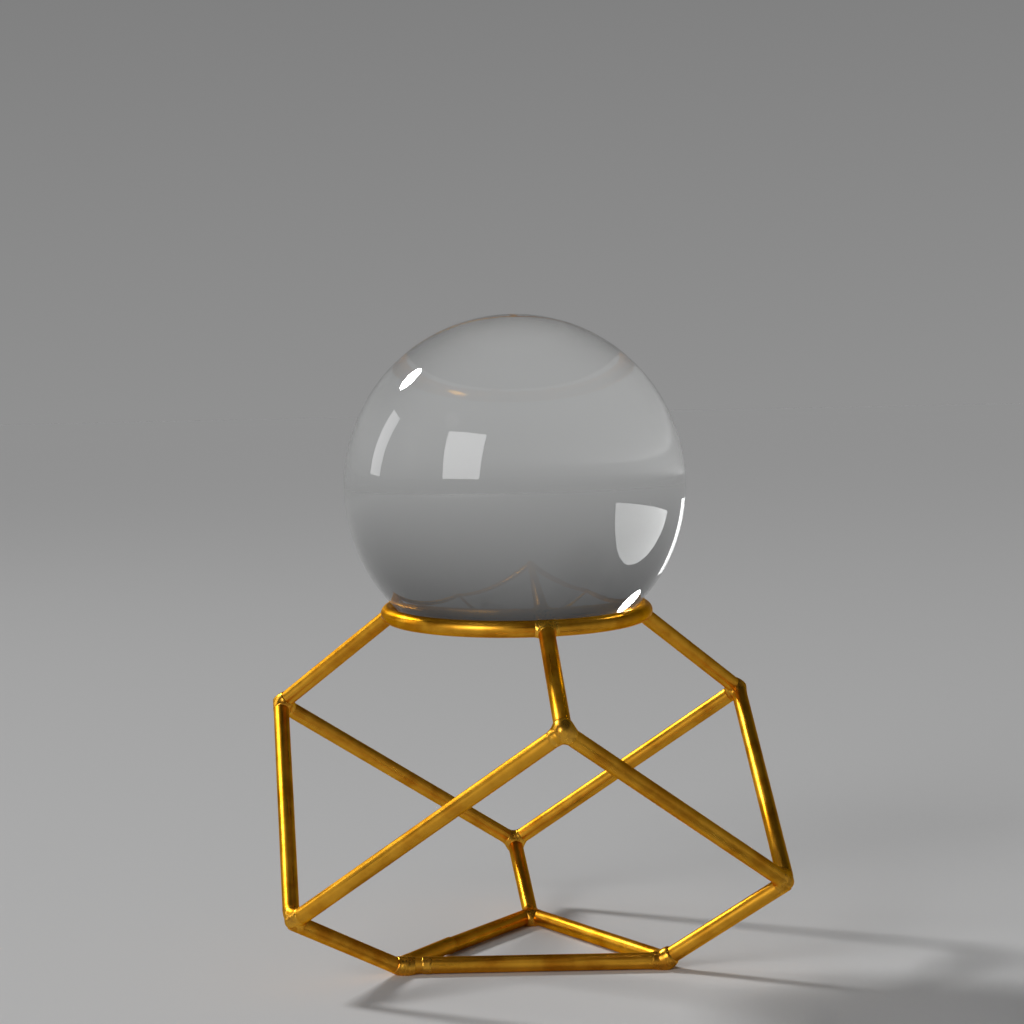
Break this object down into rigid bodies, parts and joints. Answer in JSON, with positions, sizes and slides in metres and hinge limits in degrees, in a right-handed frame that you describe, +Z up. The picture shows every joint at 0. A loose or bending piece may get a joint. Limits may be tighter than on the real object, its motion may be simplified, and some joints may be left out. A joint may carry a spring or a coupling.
{
  "type": "crystal ball",
  "caption": "Clear solid glass ball with a polished flat underside, resting in a round wire ring on a gold-plated wire stand shaped like a cube on its corner, with a triangular base.",
  "frame": {"origin": "on the table, in the middle of the object's footprint", "axes": "+Z up through the ball; -Y towards the front upper corner of the stand; +X to the right"},
  "size_m": [0.1182, 0.133, 0.1511],
  "materials": {
    "crystal": "polished, clear, colourless",
    "gold_plate": "polished gold plating over drawn wire",
    "braze": "plated braze beads, slightly rough"
  },
  "bodies": {
    "stand": {"seat_ring": "gold_plate", "strut_front": "gold_plate", "strut_right": "gold_plate", "strut_left": "gold_plate", "wire_left": "gold_plate", "wire_right": "gold_plate", "wire_back": "gold_plate", "leg_right": "gold_plate", "leg_back": "gold_plate", "leg_left": "gold_plate", "base_wire": "gold_plate", "base_closer": "gold_plate", "bead_ring_front": "braze", "bead_ring_right": "braze", "bead_ring_left": "braze", "bead_up_front": "braze", "bead_up_right": "braze", "bead_up_left": "braze", "bead_low_right": "braze", "bead_low_back": "braze", "bead_low_left": "braze", "foot_right": "braze", "foot_back": "braze", "foot_left": "braze", "bead_toe": "braze", "bead_closer": "braze"},
    "ball": {"ball": "crystal"}
  },
  "joints": [
    {"name": "ball_lift", "type": "slide", "parent": "stand", "child": "ball", "axis": [0, 0, 1], "range_m": [0, 0.1]}
  ]
}
